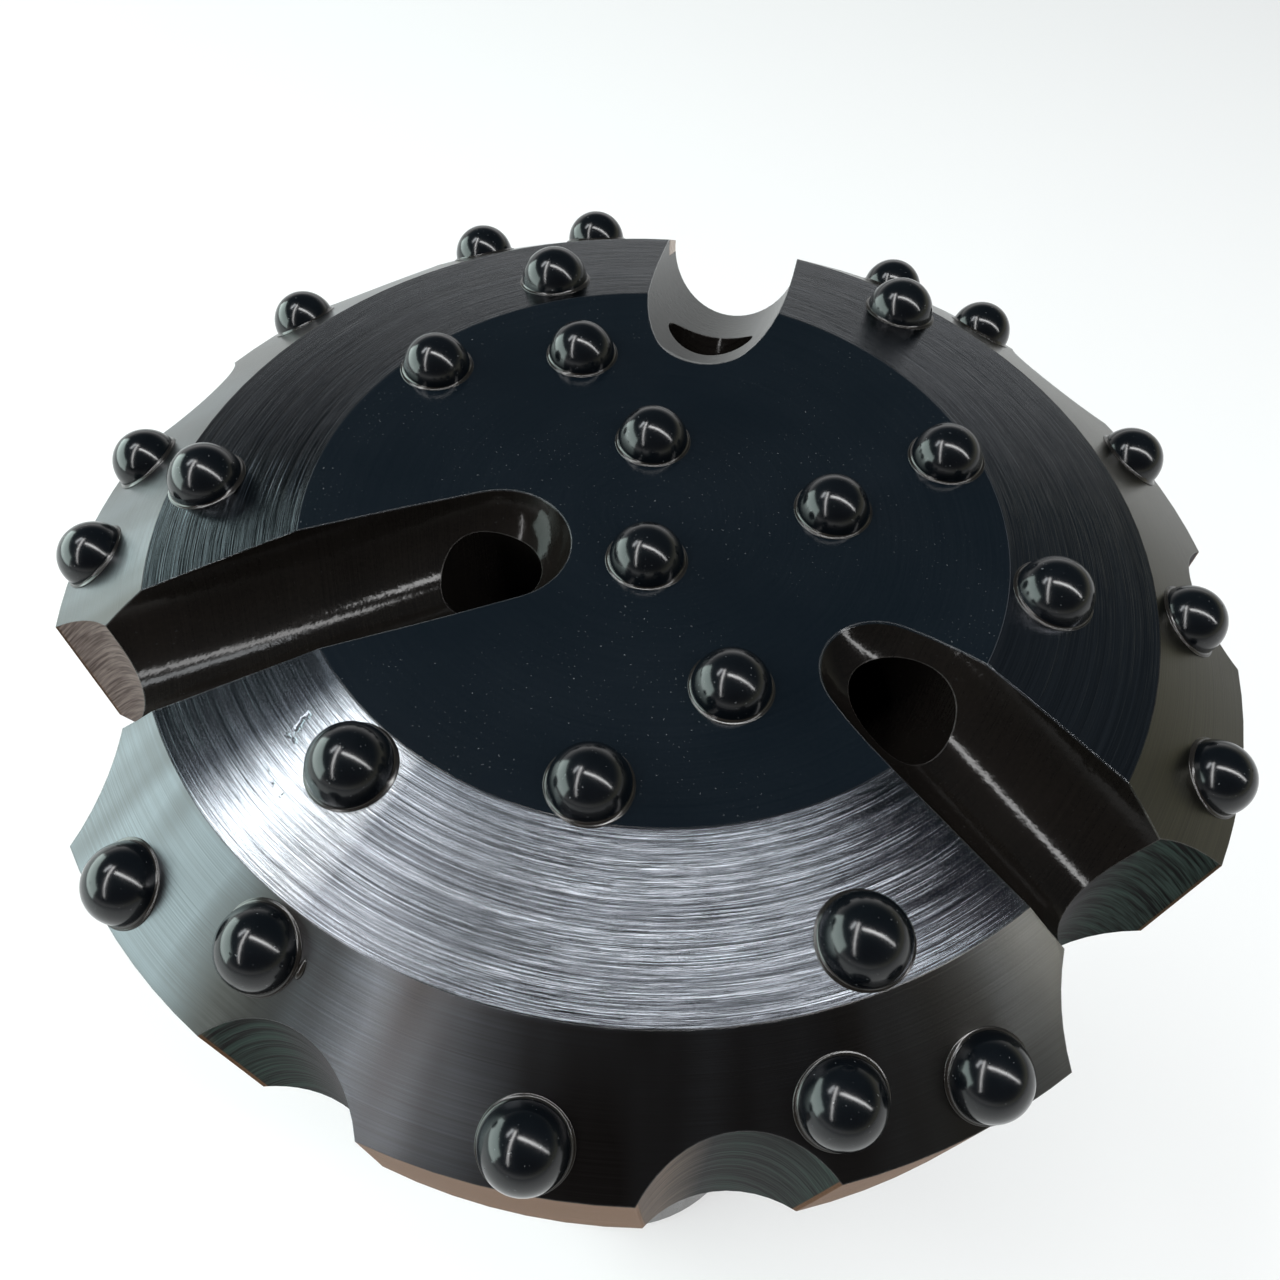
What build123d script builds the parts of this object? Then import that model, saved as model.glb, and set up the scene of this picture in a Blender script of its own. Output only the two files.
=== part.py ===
from build123d import *
from math import atan2, cos, degrees, radians, sin, sqrt, tan
import os

os.makedirs("parts", exist_ok=True)

# Down-the-hole drill bit, millimetres.
# The bit stands on its strike face, +Z runs up the axis to the cutting face.

# lengths up the axis
SHANK = 350.0
HEAD = 130.0
GUIDE_LENGTH = 62.0
SPLINE_LENGTH = 184.0
RELIEF_LENGTH = 20.0

# depths below the cutting face
FACE_RISE = 8.0
FLANGE_DEPTH = 66.0
HEAD_ROOT_DEPTH = 82.0
FACE_WEB = 96.0

# radii of the turned body
GUIDE_R = 74.0
NECK_R = 64.0
SPLINE_ROOT_R = 80.0
SPLINE_R = 93.0
RELIEF_R = 84.0
COLLAR_R = 115.0
HEAD_ROOT_R = 118.0
BODY_R = 151.0
SKIRT_TAPER = 3.5
BEVEL_WIDTH = 27.0
FACE_R = 86.0
BEVEL_ANGLE = 35.0

# corners of the shank
STRIKE_CHAMFER = 4.0
SPLINE_CHAMFER = 5.0
COLLAR_CHAMFER = 2.0
NECK_FILLET = 6.0
ROOT_FILLET = 9.0

# splines
SPLINES = 8
SPLINE_GAP_W = 30.0

# air passages
BORE_R = 25.0
SEAT_R = 32.0
SEAT_DEPTH = 40.0
FLUSH_R = 12.5
FLUSH_DROP = 14.0
FLUSH_OVERRUN = 30.0

# junk slots down the side of the head, centred outside the rim
SLOT_R = 35.7
SLOT_OUTSET = 12.5
FLUTE_R = 25.0
FLUTE_OUTSET = 14.0
SLOT_AZIMUTHS = (80.0, 202.0, 319.0)
FLUTE_AZIMUTHS = (1.0, 36.0, 128.0, 157.0, 243.0, 279.0)

# carbide buttons
GAUGE_R = 9.0
INNER_R = 9.5
FACE_BUTTON_R = 9.0
PLUG = 17.0
PLUG_CHAMFER = 1.0
FIT_GAP = 0.05
SPOT_MARGIN = 2.5

# sizes that follow
LENGTH = SHANK + HEAD
SPLINE_TOP = SHANK - RELIEF_LENGTH
NECK_TOP = SPLINE_TOP - SPLINE_LENGTH
BORE_TOP = LENGTH - FACE_WEB
HUB_HEIGHT = BORE_TOP - FLUSH_DROP
ANNULUS_R = BODY_R - BEVEL_WIDTH
ANNULUS_EDGE = LENGTH - FACE_RISE
BEVEL_DROP = BEVEL_WIDTH * tan(radians(BEVEL_ANGLE))
ANNULUS_ANGLE = degrees(atan2(FACE_RISE, ANNULUS_R - FACE_R))

# flushing grooves: azimuth, side shift, cutter radius, inner end radius,
# floor there above the annulus edge, fall in degrees, radius of the hole
GROOVE_COLUMNS = ("azimuth", "shift", "cutter", "start", "floor", "fall", "hole")
GROOVES = (
    dict(zip(GROOVE_COLUMNS, (202.0, -2.4, 18.2, 39.0, -5.0, 6.7, 43.5))),
    dict(zip(GROOVE_COLUMNS, (319.0, 1.5, 20.7, 69.0, 2.0, 18.0, 75.5))),
    dict(zip(GROOVE_COLUMNS, (80.5, 1.0, 20.3, 71.5, 2.0, 27.0, 87.5))),
)

# gauge buttons: name, distance in from the rim, azimuth
GAUGE = (
    ("gauge_button_01", 7.5, 21.0),
    ("gauge_button_02", 7.5, 47.0),
    ("gauge_button_03", 7.5, 60.0),
    ("gauge_button_04", 7.5, 100.0),
    ("gauge_button_05", 7.5, 115.0),
    ("gauge_button_06", 7.5, 140.5),
    ("gauge_button_07", 9.0, 169.0),
    ("gauge_button_08", 7.5, 182.5),
    ("gauge_button_09", 7.5, 221.5),
    ("gauge_button_10", 18.5, 236.3),
    ("gauge_button_11", 7.5, 263.0),
    ("gauge_button_12", 12.5, 287.7),
    ("gauge_button_13", 7.5, 300.0),
    ("gauge_button_14", 7.5, 338.4),
    ("gauge_button_15", 16.5, 355.0),
)

# inner buttons: name, ring in from the bevel or out from the flat face, azimuth
INNER = (
    ("inner_button_01", ANNULUS_R - 9.0, 53.4),
    ("inner_button_02", FACE_R + 13.0, 109.8),
    ("inner_button_03", ANNULUS_R - 9.5, 176.0),
    ("inner_button_04", FACE_R + 10.0, 231.0),
    ("inner_button_05", ANNULUS_R - 10.0, 293.7),
    ("inner_button_06", FACE_R + 11.0, 350.0),
)

# face buttons: name, distance from the axis, azimuth
FACE = (
    ("face_button_01", 25.5, 94.0),
    ("face_button_02", 15.0, 264.5),
    ("face_button_03", 44.0, 6.0),
    ("face_button_04", 53.8, 290.5),
    ("face_button_05", 62.0, 111.5),
    ("face_button_06", 78.5, 141.3),
    ("face_button_07", 77.5, 262.4),
    ("face_button_08", 78.0, 18.8),
)


def polar(radius, azimuth, height):
    return (radius * cos(radians(azimuth)), radius * sin(radians(azimuth)), height)


def beside(row, radius, height):
    # a point on a groove's centre line, which passes the axis at the side shift
    x, y, z = polar(radius, row["azimuth"], height)
    turn = radians(row["azimuth"])
    return (x - sin(turn) * row["shift"], y + cos(turn) * row["shift"], z)


def leaning(radius, azimuth, height, lean):
    # plane whose normal leans outward from +Z by the given angle
    out = (cos(radians(azimuth)), sin(radians(azimuth)))
    normal = (sin(radians(lean)) * out[0], sin(radians(lean)) * out[1], cos(radians(lean)))
    return Plane(origin=polar(radius, azimuth, height), x_dir=(-out[1], out[0], 0), z_dir=normal)


# seats: one line per button with its plane on the head surface
SEATS = []
for name, inset, azimuth in GAUGE:
    ring = BODY_R - inset
    height = ANNULUS_EDGE - (ring - ANNULUS_R) * tan(radians(BEVEL_ANGLE))
    SEATS.append((name, leaning(ring, azimuth, height, BEVEL_ANGLE), GAUGE_R))
for name, ring, azimuth in INNER:
    height = ANNULUS_EDGE + (ANNULUS_R - ring) * tan(radians(ANNULUS_ANGLE))
    SEATS.append((name, leaning(ring, azimuth, height, ANNULUS_ANGLE), INNER_R))
for name, ring, azimuth in FACE:
    SEATS.append((name, leaning(ring, azimuth, LENGTH, 0.0), FACE_BUTTON_R))

# body: one forging turned, then milled and drilled
with BuildPart() as bit_body:
    with BuildSketch(Plane.XZ) as profile:
        with BuildLine():
            Polyline(
                (0, 0),
                (GUIDE_R - STRIKE_CHAMFER, 0),
                (GUIDE_R, STRIKE_CHAMFER),
                (GUIDE_R, GUIDE_LENGTH),
                (NECK_R, GUIDE_LENGTH + GUIDE_R - NECK_R),
                (NECK_R, NECK_TOP - SPLINE_ROOT_R + NECK_R),
                (SPLINE_ROOT_R, NECK_TOP),
                (SPLINE_R - SPLINE_CHAMFER, NECK_TOP),
                (SPLINE_R, NECK_TOP + SPLINE_CHAMFER),
                (SPLINE_R, SPLINE_TOP),
                (RELIEF_R, SPLINE_TOP + SPLINE_R - RELIEF_R),
                (RELIEF_R, SHANK),
                (COLLAR_R - COLLAR_CHAMFER, SHANK),
                (COLLAR_R, SHANK + COLLAR_CHAMFER),
                (HEAD_ROOT_R, LENGTH - HEAD_ROOT_DEPTH),
                (BODY_R - SKIRT_TAPER, LENGTH - FLANGE_DEPTH),
                (BODY_R, ANNULUS_EDGE - BEVEL_DROP),
                (ANNULUS_R, ANNULUS_EDGE),
                (FACE_R, LENGTH),
                (0, LENGTH),
                close=True,
            )
        make_face()
        neck_corners = profile.vertices().filter_by(lambda v: abs(v.X - NECK_R) < FIT_GAP)
        fillet(neck_corners, NECK_FILLET)
        root_corner = profile.vertices().filter_by(lambda v: abs(v.X - HEAD_ROOT_R) < FIT_GAP)
        fillet(root_corner, ROOT_FILLET)
    revolve(axis=Axis.Z)

    # spaces between the splines, open at both ends
    with BuildSketch(Plane.XY.offset(NECK_TOP)) as spline_gaps:
        with PolarLocations(SPLINE_ROOT_R, SPLINES):
            Rectangle(SPLINE_R - NECK_R, SPLINE_GAP_W, align=(Align.MIN, Align.CENTER))
    extrude(amount=SPLINE_LENGTH + SPLINE_R - RELIEF_R, mode=Mode.SUBTRACT)

    # three wide junk slots and six narrow ones
    with BuildSketch(Plane.XY.offset(LENGTH - HEAD_ROOT_DEPTH)) as junk_slots:
        for azimuth in SLOT_AZIMUTHS:
            with Locations(polar(BODY_R + SLOT_OUTSET, azimuth, 0)):
                Circle(SLOT_R)
        for azimuth in FLUTE_AZIMUTHS:
            with Locations(polar(BODY_R + FLUTE_OUTSET, azimuth, 0)):
                Circle(FLUTE_R)
    extrude(amount=HEAD_ROOT_DEPTH, mode=Mode.SUBTRACT)

    # flushing grooves: a ball nosed trough that falls outward past the rim
    for row in GROOVES:
        turn = radians(row["azimuth"])
        fall = radians(row["fall"])
        start = beside(row, row["start"], ANNULUS_EDGE + row["floor"] + row["cutter"])
        along = (cos(turn) * cos(fall), sin(turn) * cos(fall), -sin(fall))
        with BuildSketch(Plane(origin=start, x_dir=(-sin(turn), cos(turn), 0), z_dir=along)):
            Circle(row["cutter"])
            with Locations((0, row["cutter"])):
                Rectangle(2 * row["cutter"], 2 * row["cutter"])
        extrude(amount=BODY_R, mode=Mode.SUBTRACT)
        with Locations(start):
            Sphere(row["cutter"], mode=Mode.SUBTRACT)

    # central bore with the tube seat at the strike end
    with BuildSketch(Plane.XY) as seat:
        Circle(SEAT_R)
    extrude(amount=SEAT_DEPTH, mode=Mode.SUBTRACT)
    with BuildSketch(Plane.XY) as bore:
        Circle(BORE_R)
    extrude(amount=BORE_TOP, mode=Mode.SUBTRACT)

    # flushing holes from the bore up into the grooves
    for row in GROOVES:
        mouth = beside(row, row["hole"], ANNULUS_EDGE)
        run = (mouth[0], mouth[1], mouth[2] - HUB_HEIGHT)
        reach = sqrt(run[0] ** 2 + run[1] ** 2 + run[2] ** 2) + FLUSH_OVERRUN
        with BuildSketch(Plane(origin=(0, 0, HUB_HEIGHT), z_dir=run)):
            Circle(FLUSH_R)
        extrude(amount=reach, mode=Mode.SUBTRACT)

    # drilled button sockets, each with its spot face
    for name, plane, radius in SEATS:
        with BuildSketch(plane):
            Circle(radius + FIT_GAP)
        extrude(amount=-PLUG, mode=Mode.SUBTRACT)
        with BuildSketch(plane):
            Circle(radius + SPOT_MARGIN)
        extrude(amount=radius + SPOT_MARGIN, mode=Mode.SUBTRACT)
bit_body.part.label = "bit_body"
export_step(bit_body.part, "parts/bit_body.step")

# buttons: a plug in its socket with a round dome standing out
for name, plane, radius in SEATS:
    with BuildPart() as button:
        with BuildSketch(Plane.XZ):
            with BuildLine():
                Line((0, -PLUG), (radius - PLUG_CHAMFER, -PLUG))
                Line((radius - PLUG_CHAMFER, -PLUG), (radius, PLUG_CHAMFER - PLUG))
                Line((radius, PLUG_CHAMFER - PLUG), (radius, 0))
                CenterArc((0, 0), radius, 0, 90)
                Line((0, radius), (0, -PLUG))
            make_face()
        revolve(axis=Axis.Z)
    placed = plane.location * button.part
    placed.label = name
    export_step(placed, f"parts/{name}.step")
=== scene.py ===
import math
from types import SimpleNamespace

import bmesh
import bpy
from mathutils import Matrix, Quaternion, Vector


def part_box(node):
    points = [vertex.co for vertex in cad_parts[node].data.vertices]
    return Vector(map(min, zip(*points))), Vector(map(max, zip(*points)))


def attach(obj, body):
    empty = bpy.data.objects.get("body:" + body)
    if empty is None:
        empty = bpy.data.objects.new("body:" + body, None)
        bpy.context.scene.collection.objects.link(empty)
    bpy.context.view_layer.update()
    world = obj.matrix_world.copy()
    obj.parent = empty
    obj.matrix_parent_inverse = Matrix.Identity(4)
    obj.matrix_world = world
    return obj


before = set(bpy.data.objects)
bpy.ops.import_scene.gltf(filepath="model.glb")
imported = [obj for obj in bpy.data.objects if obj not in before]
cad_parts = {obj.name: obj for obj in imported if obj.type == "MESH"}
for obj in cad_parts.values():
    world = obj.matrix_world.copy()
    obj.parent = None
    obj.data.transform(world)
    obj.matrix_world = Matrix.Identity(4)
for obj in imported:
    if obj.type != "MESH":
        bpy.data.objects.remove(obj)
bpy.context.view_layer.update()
scene = bpy.context.scene

# the turned head, metres: what the finishes and the varnish beads go by
FACE_TOP = 0.480
ANNULUS_EDGE = 0.472
HEAD_ROOT = 0.398
SKIRT_LOW = 0.414
FACE_R = 0.086
ANNULUS_R = 0.124
BODY_R = 0.151
SLOT_FROM_R = 0.1255
SKIRT_INSET = 0.0035
BEVEL_ANGLE = 35.0
ANNULUS_FALL = (FACE_TOP - ANNULUS_EDGE) / (ANNULUS_R - FACE_R)
BEVEL_FALL = math.tan(math.radians(BEVEL_ANGLE))
BEVEL_LOW = ANNULUS_EDGE - (BODY_R - ANNULUS_R) * BEVEL_FALL
SKIRT_TAPER = SKIRT_INSET / (BEVEL_LOW - SKIRT_LOW)
BUTTON_LEAN = {"gauge": BEVEL_ANGLE, "inner": math.degrees(math.atan(ANNULUS_FALL)), "face": 0.0}

# how far off its turned form a surface still counts, and the fades of the masks, metres
ANNULUS_SLACK = 0.0003
FACE_SLACK = 0.0004
BEVEL_SLACK = 0.0004
SKIRT_SLACK = 0.0006
HAIRLINE = 0.0001
HEAD_FADE = 0.0005
SLOT_FADE = 0.001

# the rounding of the edges that the light catches, metres
EDGE_ROUND = 0.0005
EDGE_SAMPLES = 2

# tool marks: how often each noise repeats across its cut, per metre, and its drift along it
TURNED_PITCH = 3400
BROAD_PITCH = 420
LATHE_PITCH = 2300
FINE_DRIFT = 1.6
BROAD_DRIFT = 1.2
SWEEP_PITCH, SWEEP_DRIFT = 9, 5
RUNS_PITCH, RUNS_DRIFT = 4, 9

# the milled arcs: their pitch, how they lean with the radius and shift with the side they are
# on, and their drift over the wall and round the axis
MILLED_PITCH = 900
MILLED_LEAN = 1.3
MILLED_SHIFT = 0.02
MILLED_WALL_DRIFT = 40
MILLED_DRIFT = 3

# shares of the noises in the thickness of the film and in the streaks of the rings
FILM_SHARE = SimpleNamespace(cloud=0.5, rings=0.3, grain=0.2)
STREAK_SHARE = SimpleNamespace(fine=0.85, broad=0.15)

# how strongly the specks, the edges' wear and painted highlight, and the dents show: a base, and what a
# zone or a noise adds to it
SPECK_SHARE, SPECK_ON_FACE = 0.08, 0.22
CARBIDE_SPECK_SHARE = 0.4
WEAR_AND_GLINT_GAIN, WEAR_AND_GLINT_BASE = 1.6, 0.35
DENT_DARK, DENT_RIM = 0.7, 2.2

# roughness: of each coat, and what its zones and their marks add
ROUGH = SimpleNamespace(
    gloss=0.11, annulus=0.03, bevel=0.17, face=0.02, turned=0.06, shank=0.03, lathe=0.12, runs=0.16,
    dull=0.30, slot=0.2, skirt=0.15, carbide=0.13, carbide_cloud=0.06, pool=0.16, pool_cloud=0.08,
)

# height of the marks in each zone, in units of MARK_DEPTH, which is in metres
MARK_DEPTH = 0.0001
RISE = SimpleNamespace(
    annulus=0.9, bevel=0.3, face=0.12, shank=0.8, runs=4, dent=1.2, inside=0.5, grain=0.05, skirt=0.8,
)

# share of the dull coat in the grooves and holes, and of metal in the far slot's wall
INSIDE_DULL = 0.62
FAR_SLOT_METAL = 0.5

# camera, fitted to the photograph's circles: metres, degrees of roll and millimetres of lens
CAMERA_PLACE = (0, -0.19693, 0.69226)
CAMERA_AIM = (-0.00185, -0.03297, 0.472)
CAMERA_ROLL = 2.855
CAMERA_SENSOR = 36
CAMERA_LENS = 33.032
CAMERA_NEAREST = 0.01

# linear colours; a pair goes from the dark to the light of the marks in it
FACE_BLACK = (0.0014, 0.0036, 0.0062), (0.0060, 0.0090, 0.0125)
GROOVE_BLACK = (0.0022, 0.0020, 0.0019), (0.0095, 0.0080, 0.0068)
SPECK = (0.30, 0.32, 0.33)
RINGS_BACK = (0.018, 0.021, 0.025), (0.085, 0.094, 0.105)
# painted reflection: the rings greyer at the right and on the side near the viewer
RINGS_RIGHT_PAINTED_REFLECTION = (0.085, 0.091, 0.104), (0.140, 0.148, 0.165)
RINGS_NEAR_PAINTED_REFLECTION = (0.020, 0.022, 0.026), (0.140, 0.149, 0.163)
# painted highlight: the rings lighter in a near left sector of the annulus
RINGS_PAINTED_HIGHLIGHT = (0.200, 0.212, 0.225), (0.400, 0.415, 0.430)
BEVEL_LEFT = (0.022, 0.019, 0.018), (0.132, 0.145, 0.162)
# painted reflection: an even olive at the right of the bevel
BEVEL_RIGHT_PAINTED_REFLECTION = (0.100, 0.098, 0.074)
BEVEL_RINGS = (0.052, 0.049, 0.048)
DENT_SHADE = (0.012, 0.012, 0.014)
BARE_STEEL = (0.42, 0.45, 0.50)
# worn paint on the edges, and partly a painted highlight along them
WORN_EDGE_AND_HIGHLIGHT = (0.21, 0.215, 0.22)
WALL_BLACK = (0.0010, 0.0014, 0.0014)
WALL_TINTS = (0.026, 0.046, 0.038), (0.048, 0.038, 0.046)
# painted light: the milled walls on the left lighter, a pinkish tan
WALL_LEFT_PAINTED_LIGHT = (0.070, 0.050, 0.045), (0.190, 0.150, 0.135)
WALL_LIT = (0.080, 0.060, 0.050), (0.170, 0.130, 0.105)
# painted light: the wall of the far slot made pale, though it stands in shade
WALL_FAR_PAINTED_LIGHT = (0.50, 0.48, 0.46), (0.78, 0.77, 0.75)
# worn paint on the walls' edges, and partly a painted highlight along them
WALL_WORN_AND_HIGHLIGHT = (0.16, 0.14, 0.13)
SKIRT_DARK = (0.005, 0.005, 0.005), (0.030, 0.025, 0.022)
SKIRT_SHEEN = (0.86, 0.64, 0.52)
CARBIDE_BLACK = (0.0008, 0.0014, 0.0022), (0.0035, 0.0048, 0.0065)
CARBIDE_SPECK = (0.2, 0.21, 0.22)
POOL_BROWN = (0.004, 0.004, 0.004), (0.016, 0.013, 0.010)

# where each region starts, or its middle and reach, and the span over which it comes in.
# OUT_X and OUT_Y are the direction from the axis and NORMAL_X and NORMAL_Z the surface's, from
# -1 to 1; X and Y are metres, and NEAR_Y counts towards the viewer
UPRIGHT_NORMAL_Z = (0.12, 0.02)
FAR_SLOT_X, FAR_SLOT_REACH = 0.028, (0.04, 0.01)
FAR_SLOT_Y = (0.11, 0.01)
# where the painted reflection greys the rings at the right and near
RINGS_RIGHT_OUT_X = (0.55, 0.4)
RINGS_NEAR_Y = (0.055, 0.04)
# the near left sector of the annulus that carries the painted highlight
PAINTED_HIGHLIGHT_OUT_X, PAINTED_HIGHLIGHT_REACH = -0.65, (0.03, 0.10)
PAINTED_HIGHLIGHT_NEAR_Y = (0, 0.01)
# where the bevel's painted olive reflection comes in
BEVEL_RIGHT_OUT_X = (0.3, 0.5)
SCORED_OUT_Y, SCORED_REACH = 0.06, (0.05, 0.05)
SCORED_LEFT_OUT_X = (0, 0.1)
# where the painted light on the left walls comes in
WALL_LEFT_OUT_X = (0.70, 0.22)
WALL_LIT_NORMAL_X = (0.30, 0.35)
WALL_LIT_NEAR_Y = (0.115, 0.01)

# the value of a noise, or of an edge, from which a pattern shows, and its span
FILM_THIN = (0.3, 0.4)
FINE_STREAK = (0.36, 0.28)
BROAD_STREAK = (0.35, 0.3)
SCORED_STREAK = (0.60, 0.06)
SCRAPE = (0.38, 0.26)
BEVEL_SWEEP = (0.38, 0.22)
WALL_SWEEP = (0.40, 0.20)
SPECK_PEAK = (0.70, 0.02)
SPECK_CLOUD = (0.42, 0.12)
CARBIDE_SPECK_PEAK = (0.75, 0.02)
EDGE_WEAR_AND_GLINT = (0.06, 0.5)

# dents on the left of the cone, in plan: start, end, half width; then the flat floor and the
# slope round it, as shares of the half width, and how far two noises fray their outline, metres
DENTS = (
    ((-0.0757, -0.0669), (-0.0730, -0.0688), 0.0005),
    ((-0.0722, -0.0628), (-0.0738, -0.0664), 0.0008),
    ((-0.0766, -0.0781), (-0.0765, -0.0784), 0.0005),
    ((-0.0744, -0.0808), (-0.0742, -0.0810), 0.0004),
    ((-0.0781, -0.0752), (-0.0780, -0.0755), 0.0004),
)
DENT_FLOOR = 0.3
DENT_SLOPE = 0.9
DENT_FRAY_X, DENT_FRAY_Y = 0.0035, 0.003

# the varnish bead round a button's foot: points round it; waves of its width, each with its
# lobes, its shift from button to button and its share; how far they widen it; and its
# section, as distance out from the button and height above the steel, metres
BEAD_STEPS = 72
BEAD_WAVES = ((2, 1.7, 1.0), (3, 2.9, 0.6))
BEAD_SWING = 0.16
BEAD_PROFILE = (
    (-0.00040, 0.00075), (-0.00006, 0.00066), (0.00006, 0.00044), (0.00020, 0.00026), (0.00038, 0.00017),
    (0.00054, 0.00013), (0.00067, 0.00008), (0.00075, 0.00000), (0.00077, -0.00020), (-0.00040, -0.00020),
)

# one drip of varnish on the bevel, metres: where it starts, its length and girth, the girth's
# share at its start and what that gains by its end, and the radius of its two tips
DRIP_START = (-0.0632, -0.1128, 0.4682)
DRIP_LENGTH = 0.0046
DRIP_GIRTH = 0.0011
DRIP_NECK = 0.55
DRIP_SWELL = 0.45
DRIP_TIP = 0.00001
DRIP_STEPS = 24

# the floor: its radius in metres, its sides, its colour, and how far it glows where it is seen
FLOOR_RADIUS = 30
FLOOR_SIDES = 96
FLOOR_PAINT = (0.94, 0.94, 0.94)
FLOOR_GLOW = 0.4

# the studio: colours, and the direction looked in, from -1 to 1, from which each comes in
ROOM_LEFT = (1, 1, 1)
ROOM_RIGHT = (0.56, 0.55, 0.43)
ROOM_AHEAD = (1.25, 1.25, 1.25)
ROOM_CEILING = (0.062, 0.079, 0.092)
ROOM_BEHIND = (0.06, 0.045, 0.04)
RIGHT_FROM = (-0.2, 1.0)
AHEAD_FROM = (0.7, 0.25)
CEILING_FROM = (0.08, 0.40)
BEHIND_FROM = (0.25, 0.5)
BEHIND_ABOVE = (0.02, 0.2)
BEHIND_SHARE = 0.75

# lamps: name, start, end and width in metres, brightness, tint and the way they face
DOWNWARD = (0, 0, -1)
RIGHTWARD = (1, 0, 0)
LAMPS = (
    ("row_right", (-0.5, 0.02, 2.5), (5.5, -1.8, 2.5), 0.2, 22, (1, 1, 1), DOWNWARD),
    ("row_left", (-0.75, 0.6, 2.5), (-2.8, -4.6, 2.5), 0.2, 17, (1, 1, 1), DOWNWARD),
    ("window_left", (-3, 2.6, 1.2), (-3, -1.9, 1.2), 1.8, 5, (0.82, 1.0, 0.95), RIGHTWARD),
    ("panel_left", (-1.05, 0.70, 2.5), (-1.75, 0.20, 2.5), 0.35, 11, (0.93, 0.97, 1.0), DOWNWARD),
)

# the Mix node's sockets for colours: its factor, the colours at 0 and 1, and its result
MIX_FACTOR, MIX_LOW, MIX_HIGH, MIX_RESULT = 0, 6, 7, 2


class Wire:
    """A shader socket that takes part in Python sums; each sum adds its Math node."""

    def __init__(self, tree, socket):
        self.tree = tree
        self.socket = socket

    def math(self, operation, *values, clamp=False):
        """A Math node on the values; clamp keeps its result from 0 to 1."""
        node = self.tree.nodes.new("ShaderNodeMath")
        node.operation = operation
        node.use_clamp = clamp
        for place, value in enumerate(values):
            plug(self.tree, node.inputs[place], value)
        return Wire(self.tree, node.outputs[0])

    def __add__(self, other):
        return self.math("ADD", self, other)

    def __radd__(self, other):
        return self.math("ADD", other, self)

    def __sub__(self, other):
        return self.math("SUBTRACT", self, other)

    def __rsub__(self, other):
        return self.math("SUBTRACT", other, self)

    def __mul__(self, other):
        return self.math("MULTIPLY", self, other)

    def __rmul__(self, other):
        return self.math("MULTIPLY", other, self)

    def __truediv__(self, other):
        return self.math("DIVIDE", self, other)

    def __rtruediv__(self, other):
        return self.math("DIVIDE", other, self)

    def __neg__(self):
        return self * -1

    def size(self):
        return self.math("ABSOLUTE", self)

    def root(self):
        return self.math("SQRT", self)

    def clear_of(self, edge, soft):
        """0 up to edge, 1 from edge + soft."""
        return self.math("MULTIPLY", self - edge, 1 / soft, clamp=True)

    def within(self, reach, soft):
        """1 where the value lies within reach of zero, falling to 0 over soft."""
        return 1 - self.size().clear_of(reach, soft)

    def other(self, key):
        """Another output of the same node."""
        return Wire(self.tree, self.socket.node.outputs[key])


def plug(tree, target, value):
    """Link a Wire to the socket, or set the socket's own value."""
    if isinstance(value, Wire):
        tree.links.new(value.socket, target)
    elif isinstance(value, (tuple, list)) and target.type == "RGBA":
        target.default_value = (*value[:3], 1)
    else:
        target.default_value = value


class Finish:
    """One shader tree: node() makes each node but the Math nodes, which sums on Wires make."""

    def __init__(self, tree):
        self.tree = tree
        tree.nodes.clear()

    def node(self, kind, settings=None, out=0, sockets=None, **named):
        """A node with its settings, then its sockets by key, or by name with _ for a space."""
        made = self.tree.nodes.new(kind)
        for key, value in (settings or {}).items():
            setattr(made, key, value)
        for key, value in (sockets or {}).items():
            plug(self.tree, made.inputs[key], value)
        for key, value in named.items():
            plug(self.tree, made.inputs[key.replace("_", " ")], value)
        return Wire(self.tree, made.outputs[out]) if made.outputs else None

    def split(self, vector):
        x = self.node("ShaderNodeSeparateXYZ", Vector=vector)
        return x, x.other("Y"), x.other("Z")

    def join(self, x, y, z):
        return self.node("ShaderNodeCombineXYZ", X=x, Y=y, Z=z)

    def mix(self, mask, low, high):
        """A colour that goes from low to high with the mask."""
        sockets = {MIX_FACTOR: mask, MIX_LOW: low, MIX_HIGH: high}
        return self.node("ShaderNodeMix", {"data_type": "RGBA"}, MIX_RESULT, sockets)

    def noise(self, vector, scale=1.0, detail=2.0, roughness=0.5, distortion=0.0):
        return self.node(
            "ShaderNodeTexNoise",
            Vector=vector,
            Scale=scale,
            Detail=detail,
            Roughness=roughness,
            Distortion=distortion,
        )


def new_material(name):
    material = bpy.data.materials.new(name)
    material.use_nodes = True
    return material, Finish(material.node_tree)


def place_camera():
    camera = bpy.data.objects.new("camera", bpy.data.cameras.new("camera"))
    scene.collection.objects.link(camera)
    camera.location = CAMERA_PLACE
    camera.rotation_mode = "QUATERNION"
    roll = Quaternion((0, 0, 1), math.radians(CAMERA_ROLL))
    camera.rotation_quaternion = (Vector(CAMERA_AIM) - camera.location).to_track_quat("-Z", "Y") @ roll
    camera.data.sensor_width = CAMERA_SENSOR
    camera.data.lens = CAMERA_LENS
    camera.data.clip_start = CAMERA_NEAREST
    scene.camera = camera


def body_spot(f):
    """A point of the body: its place, its radius and its direction from the axis."""
    place = f.node("ShaderNodeTexCoord", out="Object")
    x, y, z = f.split(place)
    r = (x * x + y * y).root()
    return SimpleNamespace(place=place, x=x, y=y, z=z, r=r, out_x=x / r, out_y=y / r)


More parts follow.
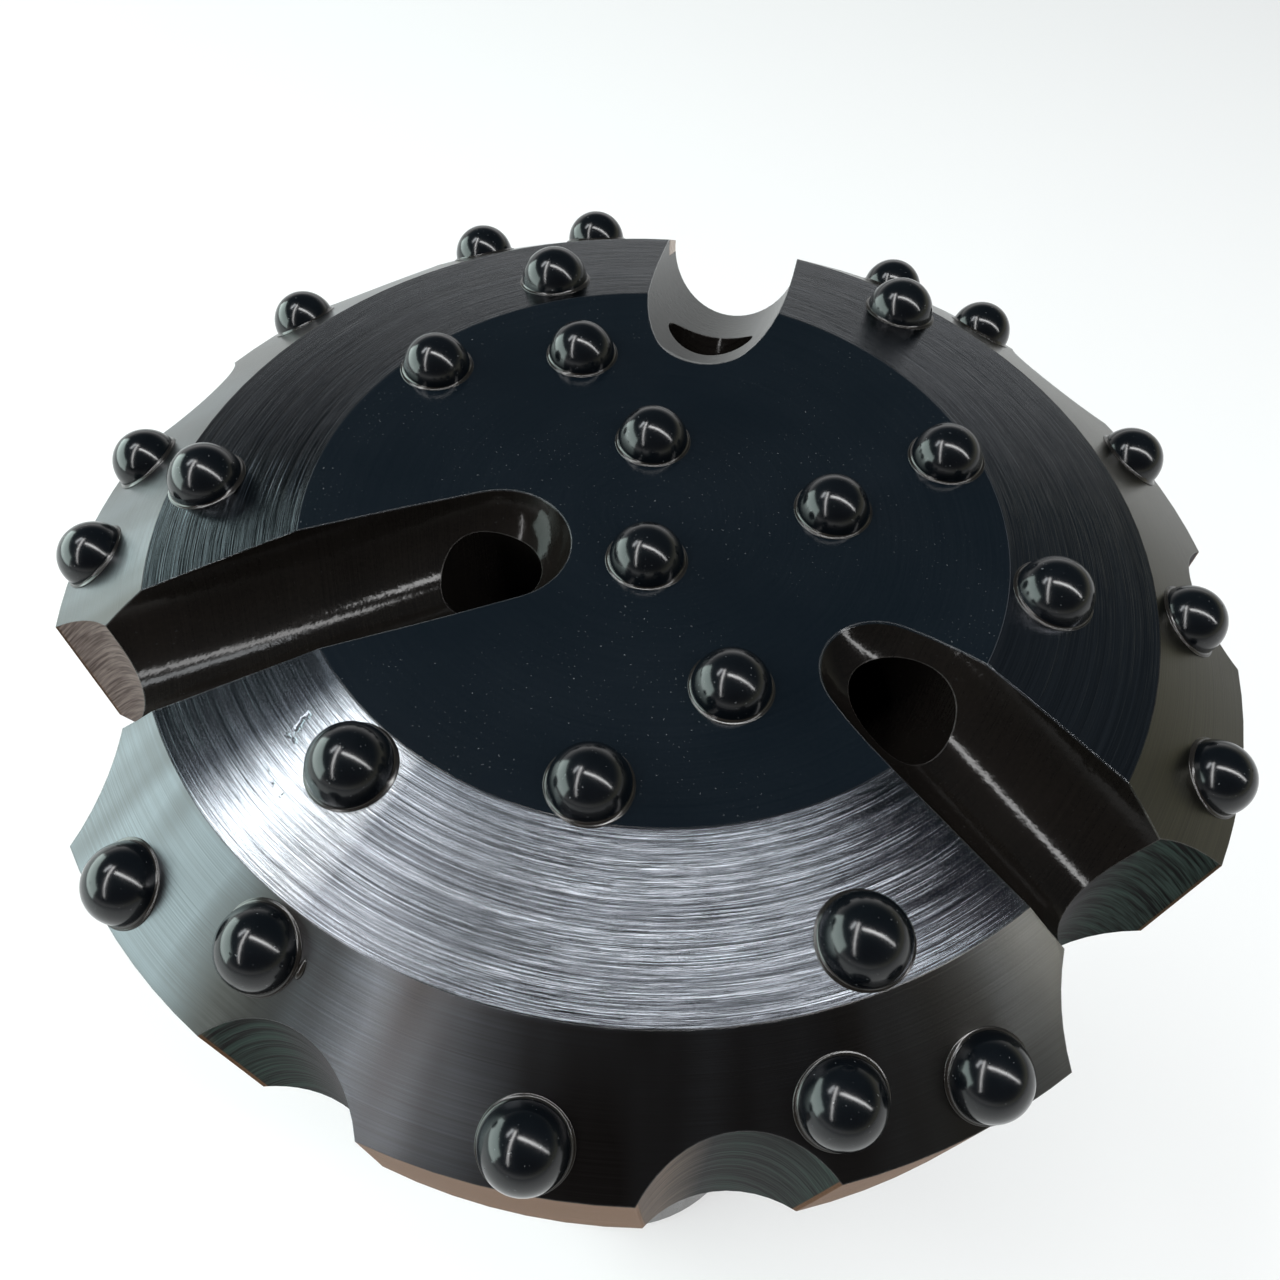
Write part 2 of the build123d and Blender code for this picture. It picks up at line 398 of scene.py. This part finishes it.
def cut_zones(f, spot):
    """Masks of the surfaces that each cut of the lathe and mill left, and the rounded normal."""
    normal = f.node("ShaderNodeNewGeometry", out="Normal")
    normal_x, _, normal_z = f.split(normal)
    r, z = spot.r, spot.z
    head = z.clear_of(HEAD_ROOT, HEAD_FADE)
    face = z.clear_of(FACE_TOP - FACE_SLACK, HAIRLINE)
    on_cone = (z - ANNULUS_EDGE - (ANNULUS_R - r) * ANNULUS_FALL).within(ANNULUS_SLACK, HAIRLINE)
    past_edge = r.clear_of(ANNULUS_R - ANNULUS_SLACK, ANNULUS_SLACK)
    annulus = on_cone * r.clear_of(FACE_R, ANNULUS_SLACK) * (1 - past_edge)
    bevel = (z - ANNULUS_EDGE + (r - ANNULUS_R) * BEVEL_FALL).within(BEVEL_SLACK, HAIRLINE) * past_edge
    upright = normal_z.within(*UPRIGHT_NORMAL_Z)
    skirt = (r - BODY_R + (BEVEL_LOW - z) * SKIRT_TAPER).within(SKIRT_SLACK, 2 * HAIRLINE) * upright * head
    slot = upright * head * r.clear_of(SLOT_FROM_R, SLOT_FADE) * (1 - skirt)
    far_slot = slot * spot.y.clear_of(*FAR_SLOT_Y) * (spot.x - FAR_SLOT_X).within(*FAR_SLOT_REACH)
    cover = slot + skirt
    inside = head * (1 - face) * (1 - annulus) * (1 - bevel) * (1 - cover)
    rounded = f.node("ShaderNodeBevel", {"samples": EDGE_SAMPLES}, Radius=EDGE_ROUND)
    level = f.node("ShaderNodeVectorMath", {"operation": "DOT_PRODUCT"}, "Value", {0: rounded, 1: normal})
    return SimpleNamespace(
        head=head,
        shank=1 - head,
        face=face,
        annulus=annulus,
        bevel=bevel,
        skirt=skirt,
        slot=slot,
        far_slot=far_slot,
        cover=cover,
        inside=inside,
        edge=1 - level,
        normal_x=normal_x,
        rounded=rounded,
    )


def tool_marks(f, spot, zone):
    """Noises drawn out along the cuts, even ones, and the film, specks, worn edges with a painted
    highlight on them, and scars they make.
    """
    r, z, out_x, out_y = spot.r, spot.z, spot.out_x, spot.out_y
    along_x, along_y = out_x * FINE_DRIFT, out_y * FINE_DRIFT
    turned = f.noise(f.join(r * TURNED_PITCH, along_x, along_y), detail=3.0, roughness=0.65)
    broad = f.noise(f.join(r * BROAD_PITCH, out_x * BROAD_DRIFT, out_y * BROAD_DRIFT))
    lathe = f.noise(f.join(along_x, along_y, z * LATHE_PITCH), detail=3.0, roughness=0.65)
    arc = (z + r * MILLED_LEAN + out_x * MILLED_SHIFT) * MILLED_PITCH
    arcs = f.join(arc, (r - z) * MILLED_WALL_DRIFT, out_x * MILLED_DRIFT)
    milled = f.noise(arcs, detail=3.0, roughness=0.6, distortion=0.2)
    sweep = f.noise(f.join(out_x * SWEEP_DRIFT, out_y * SWEEP_DRIFT, r * SWEEP_PITCH))
    runs = f.noise(f.join(out_x * RUNS_DRIFT, out_y * RUNS_DRIFT, z * RUNS_PITCH))
    cloud = f.noise(spot.place, scale=22.0, detail=3.0, roughness=0.55)
    grain = f.noise(spot.place, scale=1100.0, roughness=0.6)
    dust = f.noise(spot.place, scale=1300.0, roughness=0.6)
    ragged = f.noise(spot.place, scale=420.0, roughness=0.6)
    head_rings = turned * FILM_SHARE.rings * zone.head
    shank_rings = lathe * FILM_SHARE.rings * zone.shank
    film = cloud * FILM_SHARE.cloud + head_rings + shank_rings + grain * FILM_SHARE.grain
    dent_x = spot.x + (ragged - 0.5) * DENT_FRAY_X
    dent_y = spot.y + (grain - 0.5) * DENT_FRAY_Y
    scored = turned.clear_of(*SCORED_STREAK) * (out_y - SCORED_OUT_Y).within(*SCORED_REACH)
    return SimpleNamespace(
        turned=turned,
        broad=broad,
        lathe=lathe,
        milled=milled,
        sweep=sweep,
        runs=runs,
        grain=grain,
        ragged=ragged,
        film=film.clear_of(*FILM_THIN),
        specks=dust.clear_of(*SPECK_PEAK) * cloud.clear_of(*SPECK_CLOUD),
        # lighter edges: partly wear, partly a painted highlight
        worn_and_glint=(zone.edge * WEAR_AND_GLINT_GAIN).clear_of(*EDGE_WEAR_AND_GLINT) * (WEAR_AND_GLINT_BASE + grain),
        dents=dent_marks(dent_x, dent_y) * zone.annulus,
        scored=scored * (-out_x).clear_of(*SCORED_LEFT_OUT_X) * zone.annulus,
    )


def dent_marks(x, y):
    """1 inside each dent of the cone."""
    marks = 0
    for (start_x, start_y), (end_x, end_y), half in DENTS:
        run_x, run_y = end_x - start_x, end_y - start_y
        span = run_x * run_x + run_y * run_y
        share_x, share_y = (x - start_x) * (run_x / span), (y - start_y) * (run_y / span)
        share = share_x.math("ADD", share_x, share_y, clamp=True)
        off_x, off_y = x - start_x - share * run_x, y - start_y - share * run_y
        away = (off_x * off_x + off_y * off_y).root()
        marks = marks + (1 - away.clear_of(half * DENT_FLOOR, half * DENT_SLOPE))
    return marks


def annulus_colour(f, spot, mark):
    """Turned rings: dark at the back, greyed by a painted reflection at the right and near, and with a
    painted highlight in a near left sector.
    """
    fine = mark.turned.clear_of(*FINE_STREAK) * STREAK_SHARE.fine
    streak = fine + mark.broad.clear_of(*BROAD_STREAK) * STREAK_SHARE.broad
    rings = f.mix(streak, *RINGS_BACK)
    # painted reflection: greyer rings at the right and near the viewer
    rings = f.mix(spot.out_x.clear_of(*RINGS_RIGHT_OUT_X), rings, f.mix(streak, *RINGS_RIGHT_PAINTED_REFLECTION))
    rings = f.mix((-spot.y).clear_of(*RINGS_NEAR_Y), rings, f.mix(streak, *RINGS_NEAR_PAINTED_REFLECTION))
    # painted highlight: the near left sector of the rings made lighter
    highlight_sector = (spot.out_x - PAINTED_HIGHLIGHT_OUT_X).within(*PAINTED_HIGHLIGHT_REACH) * (-spot.y).clear_of(*PAINTED_HIGHLIGHT_NEAR_Y)
    return f.mix(highlight_sector, rings, f.mix(streak, *RINGS_PAINTED_HIGHLIGHT))


def bevel_colour(f, spot, mark):
    """Patches of light and dark round the left of the bevel, and a painted olive reflection at its right.
    """
    bright = f.mix(mark.sweep.clear_of(*BEVEL_SWEEP), *BEVEL_LEFT)
    # painted reflection: the right of the bevel made an even olive
    bright = f.mix(spot.out_x.clear_of(*BEVEL_RIGHT_OUT_X), bright, BEVEL_RIGHT_PAINTED_REFLECTION)
    return f.mix(mark.turned, bright, BEVEL_RINGS)


def gloss_coat(f, spot, zone, mark, groove):
    """The gloss varnish: black on the flat face, thin over the steel of the annulus and bevel."""
    turned, lathe, runs, dents = mark.turned, mark.lathe, mark.runs, mark.dents
    colour = f.mix(zone.face, groove, f.mix(mark.film, *FACE_BLACK))
    colour = f.mix(mark.specks * (SPECK_SHARE + zone.face * SPECK_ON_FACE), colour, SPECK)
    colour = f.mix(zone.annulus, colour, annulus_colour(f, spot, mark))
    colour = f.mix(zone.bevel, colour, bevel_colour(f, spot, mark))
    colour = f.mix(dents * DENT_DARK, colour, DENT_SHADE)
    colour = f.mix(dents * (1 - dents) * DENT_RIM + mark.scored, colour, BARE_STEEL)
    # the edges lighter: worn paint and a painted highlight
    colour = f.mix(mark.worn_and_glint, colour, WORN_EDGE_AND_HIGHLIGHT)
    rough = ROUGH.gloss + zone.annulus * (ROUGH.annulus + turned * ROUGH.turned) + zone.bevel * ROUGH.bevel
    rough = rough + zone.face * (ROUGH.face + turned * ROUGH.turned)
    rough = rough + zone.shank * (ROUGH.shank + lathe * ROUGH.lathe + runs * ROUGH.runs)
    height = turned * (zone.annulus * RISE.annulus + zone.bevel * RISE.bevel + zone.face * RISE.face)
    height = height + (lathe * RISE.shank + runs * RISE.runs) * zone.shank - dents * RISE.dent
    height = height + mark.ragged * zone.inside * RISE.inside
    height = height + mark.grain * (RISE.grain + zone.face * RISE.face)
    return f.node(
        "ShaderNodeBsdfPrincipled",
        Base_Color=colour,
        Metallic=zone.annulus + zone.bevel,
        Roughness=rough,
        Normal=marked_normal(f, height, zone),
        Specular_IOR_Level=0.45,
    )


def dull_coat(f, spot, zone, mark, groove):
    """The thin, dull coat of the milled walls, the skirt and, in part, the grooves and holes."""
    milled, lathe = mark.milled, mark.lathe
    scrape = milled.clear_of(*SCRAPE)
    lit = zone.normal_x.clear_of(*WALL_LIT_NORMAL_X) * (-spot.y).clear_of(*WALL_LIT_NEAR_Y)
    wall = f.mix(scrape, WALL_BLACK, f.mix(mark.sweep.clear_of(*WALL_SWEEP), *WALL_TINTS))
    # painted light: the walls on the left side made lighter
    wall = f.mix((-spot.out_x).clear_of(*WALL_LEFT_OUT_X), wall, f.mix(scrape, *WALL_LEFT_PAINTED_LIGHT))
    wall = f.mix(lit, wall, f.mix(scrape, *WALL_LIT))
    # painted light: the far slot's wall pale where it lies in shade
    wall = f.mix(zone.far_slot, wall, f.mix(scrape, *WALL_FAR_PAINTED_LIGHT))
    wall = f.mix(zone.skirt, wall, f.mix(lathe, *SKIRT_DARK))
    wall = f.mix(zone.inside, wall, groove)
    # the walls' edges lighter: worn paint and a painted highlight
    wall = f.mix(mark.worn_and_glint * (1 - zone.far_slot), wall, WALL_WORN_AND_HIGHLIGHT)
    rough = ROUGH.dull + milled * zone.slot * ROUGH.slot + lathe * zone.skirt * ROUGH.skirt
    height = milled * zone.slot + lathe * zone.skirt * RISE.skirt + mark.ragged * zone.inside * RISE.inside
    return f.node(
        "ShaderNodeBsdfPrincipled",
        Base_Color=wall,
        Metallic=zone.skirt + zone.far_slot * FAR_SLOT_METAL,
        Roughness=rough,
        Normal=marked_normal(f, height, zone),
        Specular_IOR_Level=0.008,
        Specular_Tint=SKIRT_SHEEN,
    )


def marked_normal(f, height, zone):
    """The normal with its edges rounded and the marks' height on it, in MARK_DEPTH."""
    return f.node("ShaderNodeBump", Strength=1.0, Distance=MARK_DEPTH, Height=height, Normal=zone.rounded)


def varnished_steel():
    """Black varnish over the turned and milled steel of the body: a gloss coat and a dull one."""
    material, f = new_material("varnished_steel")
    spot = body_spot(f)
    zone = cut_zones(f, spot)
    mark = tool_marks(f, spot, zone)
    groove = f.mix(mark.film, *GROOVE_BLACK)
    gloss = gloss_coat(f, spot, zone, mark, groove)
    dull = dull_coat(f, spot, zone, mark, groove)
    dull_share = zone.cover + zone.inside * INSIDE_DULL
    shader = f.node("ShaderNodeMixShader", sockets={0: dull_share, 1: gloss, 2: dull})
    f.node("ShaderNodeOutputMaterial", Surface=shader)
    return material


def varnished_carbide():
    """Gloss black varnish over the ground carbide of the buttons."""
    material, f = new_material("varnished_carbide")
    place = f.node("ShaderNodeTexCoord", out="Object")
    cloud = f.noise(place, scale=160.0, detail=3.0, roughness=0.6)
    specks = f.noise(place, scale=1500.0, detail=1.0).clear_of(*CARBIDE_SPECK_PEAK)
    shader = f.node(
        "ShaderNodeBsdfPrincipled",
        Base_Color=f.mix(specks * CARBIDE_SPECK_SHARE, f.mix(cloud, *CARBIDE_BLACK), CARBIDE_SPECK),
        Roughness=ROUGH.carbide + cloud * ROUGH.carbide_cloud,
        Normal=f.node("ShaderNodeBump", Strength=0.3, Distance=MARK_DEPTH, Height=cloud),
        Specular_IOR_Level=0.42,
    )
    f.node("ShaderNodeOutputMaterial", Surface=shader)
    return material


def varnish_pool():
    """Thick varnish where it ran together: a little browner and more reflective."""
    material, f = new_material("varnish_pool")
    place = f.node("ShaderNodeTexCoord", out="Object")
    cloud = f.noise(place, scale=400.0)
    shader = f.node(
        "ShaderNodeBsdfPrincipled",
        Base_Color=f.mix(cloud, *POOL_BROWN),
        Roughness=ROUGH.pool + cloud * ROUGH.pool_cloud,
        Normal=f.node("ShaderNodeBump", Strength=0.4, Distance=0.8 * MARK_DEPTH, Height=cloud),
        Specular_IOR_Level=0.6,
    )
    f.node("ShaderNodeOutputMaterial", Surface=shader)
    return material


def button_seat(name):
    """The centre of a button's foot circle, its axis, its side and up-slope directions, its radius."""
    low, high = (Vector(corner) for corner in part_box(name))
    middle = (low + high) / 2
    out = Vector((middle.x, middle.y, 0)).normalized()
    lean = math.radians(BUTTON_LEAN[name.split("_")[0]])
    axis = out * math.sin(lean) + Vector((0, 0, math.cos(lean)))
    side = Vector((-out.y, out.x, 0))
    up_slope = axis.cross(side)
    points = [vertex.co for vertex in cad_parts[name].data.vertices]
    across = [point.dot(side) for point in points]
    along = [point.dot(up_slope) for point in points]
    radius = (max(across) - min(across)) / 2
    top = max(point.dot(axis) for point in points)
    centre = side * (max(across) + min(across)) / 2 + up_slope * (max(along) + min(along)) / 2
    return centre + axis * (top - radius), axis, side, up_slope, radius


def bead_rings(form, name, index):
    """Points of the bead round a button's foot: its section, step by step, uneven as it ran."""
    foot, axis, side, slope, radius = button_seat(name)
    rings = []
    for step in range(BEAD_STEPS):
        turn = 2 * math.pi * step / BEAD_STEPS
        out = side * math.cos(turn) + slope * math.sin(turn)
        waves = (share * math.sin(turn * lobes + index * shift) for lobes, shift, share in BEAD_WAVES)
        width = 1 + BEAD_SWING * sum(waves)
        rings.append([
            form.verts.new(foot + out * (radius + away * width) + axis * high * width)
            for away, high in BEAD_PROFILE
        ])
    return rings


def drip_rings(form):
    """Points of the drip: rings down the bevel, fullest past its middle."""
    down_slope = Vector((DRIP_START[0], DRIP_START[1], 0)).normalized()
    down_slope = (down_slope - Vector((0, 0, BEVEL_FALL))).normalized()
    beside = down_slope.cross(Vector((0, 0, 1))).normalized()
    above = beside.cross(down_slope)
    turns = [2 * math.pi * part / DRIP_STEPS for part in range(DRIP_STEPS)]
    rings = []
    for step in range(DRIP_STEPS + 1):
        share = step / DRIP_STEPS
        fullness = math.sin(math.pi * share) ** 0.5
        girth = DRIP_GIRTH * fullness * (DRIP_NECK + DRIP_SWELL * share) + DRIP_TIP
        centre = Vector(DRIP_START) + down_slope * DRIP_LENGTH * share
        rings.append([
            form.verts.new(centre + (beside * math.cos(turn) + above * math.sin(turn)) * girth)
            for turn in turns
        ])
    return rings


def join_rings(form, heres, theres):
    """Skin between each ring of points and its neighbour."""
    for here, there in zip(heres, theres):
        for low in range(len(here)):
            high = (low + 1) % len(here)
            form.faces.new((here[low], there[low], there[high], here[high]))


def pool_varnish():
    """One mesh on the body: a bead of varnish round the foot of each button, and one drip."""
    form = bmesh.new()
    rings = drip_rings(form)
    join_rings(form, rings[:-1], rings[1:])
    for index, name in enumerate(sorted(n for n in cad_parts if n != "bit_body")):
        rings = bead_rings(form, name, index)
        join_rings(form, rings, rings[1:] + rings[:1])
    mesh = bpy.data.meshes.new("varnish_beads")
    bmesh.ops.recalc_face_normals(form, faces=form.faces)
    form.to_mesh(mesh)
    form.free()
    for face in mesh.polygons:
        face.use_smooth = True
    beads = bpy.data.objects.new("varnish_beads", mesh)
    scene.collection.objects.link(beads)
    mesh.materials.append(varnish_pool())
    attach(beads, "root")


def lay_floor():
    """A pale floor that takes the part's shadow and glows a little where it is seen."""
    mesh = bpy.data.meshes.new("floor")
    form = bmesh.new()
    bmesh.ops.create_circle(form, cap_ends=True, segments=FLOOR_SIDES, radius=FLOOR_RADIUS)
    form.to_mesh(mesh)
    form.free()
    floor = bpy.data.objects.new("floor", mesh)
    scene.collection.objects.link(floor)
    material, f = new_material("pale_floor")
    camera_ray = f.node("ShaderNodeLightPath", out="Is Camera Ray")
    seen = camera_ray + camera_ray.other("Is Glossy Ray") + camera_ray.other("Is Transmission Ray")
    paint = f.node("ShaderNodeBsdfDiffuse", Color=FLOOR_PAINT)
    glow = f.node("ShaderNodeEmission", Color=(1, 1, 1), Strength=1.0)
    shader = f.node("ShaderNodeMixShader", sockets={0: seen * FLOOR_GLOW, 1: paint, 2: glow})
    f.node("ShaderNodeOutputMaterial", Surface=shader)
    mesh.materials.append(material)


def set_world():
    """A pale horizon, dim and yellow at the right and bright ahead, a dim ceiling, a dark back."""
    world = bpy.data.worlds.new("studio")
    world.use_nodes = True
    f = Finish(world.node_tree)
    x, y, z = f.split(f.node("ShaderNodeTexCoord", out="Generated"))
    dusk = z.clear_of(*CEILING_FROM)
    ceiling = dusk * (2 - dusk)
    behind = (-y).clear_of(*BEHIND_FROM) * z.clear_of(*BEHIND_ABOVE)
    colour = f.mix(x.clear_of(*RIGHT_FROM), ROOM_LEFT, ROOM_RIGHT)
    colour = f.mix(y.clear_of(*AHEAD_FROM), colour, ROOM_AHEAD)
    colour = f.mix(ceiling, colour, ROOM_CEILING)
    colour = f.mix(behind * BEHIND_SHARE, colour, ROOM_BEHIND)
    f.node("ShaderNodeOutputWorld", Surface=f.node("ShaderNodeBackground", Color=colour, Strength=1.0))
    scene.world = world


def hang_lamp(name, start, end, width, brightness, tint, face):
    """A long soft lamp from start to end that faces the given way."""
    start, end = Vector(start), Vector(end)
    lamp = bpy.data.objects.new(name, bpy.data.lights.new(name, "AREA"))
    lamp.data.shape = "RECTANGLE"
    lamp.data.size = (end - start).length
    lamp.data.size_y = width
    lamp.data.energy = brightness * lamp.data.size * width * math.pi
    lamp.data.color = tint
    along = (end - start).normalized()
    back = -Vector(face)
    back = (back - along * back.dot(along)).normalized()
    across = back.cross(along)
    turn = Matrix((along, across, back)).transposed().to_4x4()
    lamp.matrix_world = Matrix.Translation((start + end) / 2) @ turn
    scene.collection.objects.link(lamp)


place_camera()
steel_finish = varnished_steel()
carbide_finish = varnished_carbide()
for name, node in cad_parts.items():
    for slot in node.material_slots:
        slot.material = steel_finish if name == "bit_body" else carbide_finish
pool_varnish()
lay_floor()
set_world()
for lamp in LAMPS:
    hang_lamp(*lamp)
scene.view_settings.view_transform = "Standard"
